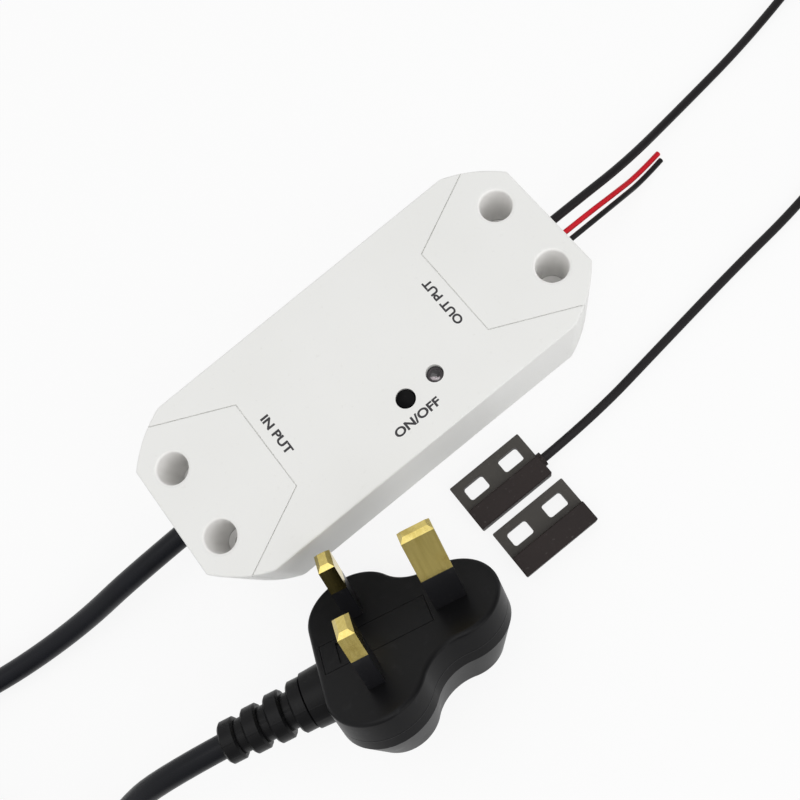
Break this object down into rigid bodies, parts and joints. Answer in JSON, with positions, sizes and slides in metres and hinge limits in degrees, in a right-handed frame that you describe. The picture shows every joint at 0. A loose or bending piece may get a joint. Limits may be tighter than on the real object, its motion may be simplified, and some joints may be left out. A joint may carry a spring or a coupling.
{
  "type": "garage door controller",
  "caption": "Mains-fed relay box for a garage door with a plugged supply lead, output wires, a wired reed sensor and its magnet.",
  "frame": {"origin": "centre of the housing's flat underside, where it sits on a wall, ceiling or table", "axes": "+X towards the output end with the wires, +Y away from the sensor and plug, +Z out of the lettered face"},
  "size_m": [0.4486, 0.1033, 0.0482],
  "materials": {
    "housing_white": "fine spark-textured white moulding",
    "zinc_screw": "zinc plated",
    "button_black": "gloss",
    "switch_black": "matt",
    "light_guide_clear": "clear polycarbonate",
    "led_white": "gloss",
    "board_green": "solder mask",
    "relay_blue": "matt",
    "ferrite": "sintered",
    "winding_tape": "taped",
    "capacitor_can": "sleeved",
    "resistor_green": "cement coat",
    "varistor_blue": "epoxy coat",
    "chip_black": "moulded",
    "shield_tin": "tinned",
    "terminal_green": "matt",
    "core_brown": "PVC",
    "core_blue": "PVC",
    "core_white": "PVC",
    "mains_cord_black": "satin PVC sheath",
    "plug_black": "moulded PVC",
    "pin_brass": "polished",
    "sleeve_black": "satin",
    "carrier_grey": "satin",
    "fuse_ceramic": "ceramic",
    "sensor_black": "satin ABS",
    "reed_glass": "glass",
    "magnet_grey": "sintered",
    "cable_black": "satin PVC sheath",
    "wire_red": "PVC",
    "wire_black": "PVC",
    "tie_black": "nylon"
  },
  "bodies": {
    "controller": {"base_plate": "housing_white", "top_cover": "housing_white", "input_cover": "housing_white", "output_cover": "housing_white", "cover_screws": "zinc_screw", "circuit_board": "board_green", "board_screws": "zinc_screw", "input_clamp": "switch_black", "output_clamp": "switch_black", "clamp_screws": "zinc_screw", "input_terminal": "terminal_green", "output_terminal": "terminal_green", "terminal_screws": "zinc_screw", "push_switch": "switch_black", "light_guide": "light_guide_clear", "status_led": "led_white", "relay": "relay_blue", "transformer_core": "ferrite", "transformer_bobbin": "winding_tape", "bulk_capacitors": "capacitor_can", "output_capacitor": "capacitor_can", "fuse_resistor": "resistor_green", "varistor": "varistor_blue", "surface_chips": "chip_black", "radio_board": "board_green", "radio_shield": "shield_tin", "sensor_body": "sensor_black", "reed_capsule": "reed_glass", "pin_live": "pin_brass", "pin_neutral": "pin_brass", "pin_earth": "pin_brass", "plug_body": "plug_black", "plug_strain_relief": "plug_black", "pin_sleeves": "sleeve_black", "mains_live_core": "core_brown", "mains_neutral_core": "core_blue", "sensor_cores": "core_white", "mains_lead_run": "mains_cord_black", "mains_lead_coil": "mains_cord_black", "mains_lead_tail": "mains_cord_black", "mains_tie": "tie_black", "sensor_cable_run": "cable_black", "sensor_cable_coil": "cable_black", "sensor_cable_tail": "cable_black", "sensor_tie": "tie_black", "red_wire": "wire_red", "black_wire": "wire_black"},
    "button": {"button_cap": "button_black", "switch_plunger": "switch_black"},
    "fuse_drawer": {"fuse_carrier": "carrier_grey", "plug_fuse": "fuse_ceramic"},
    "magnet": {"magnet_body": "sensor_black", "magnet_bar": "magnet_grey"}
  },
  "joints": [
    {"name": "button_press", "type": "slide", "parent": "controller", "child": "button", "axis": [0, 0, -1], "range_m": [0, 0.0005], "stiffness_N_per_m": 3000},
    {"name": "fuse_carrier_slide", "type": "slide", "parent": "controller", "child": "fuse_drawer", "axis": [0.1917, 0.6565, 0.7296], "range_m": [0, 0.0095]},
    {"name": "magnet_travel", "type": "slide", "parent": "controller", "child": "magnet", "axis": [0, -1, 0], "range_m": [0, 0.05]}
  ]
}
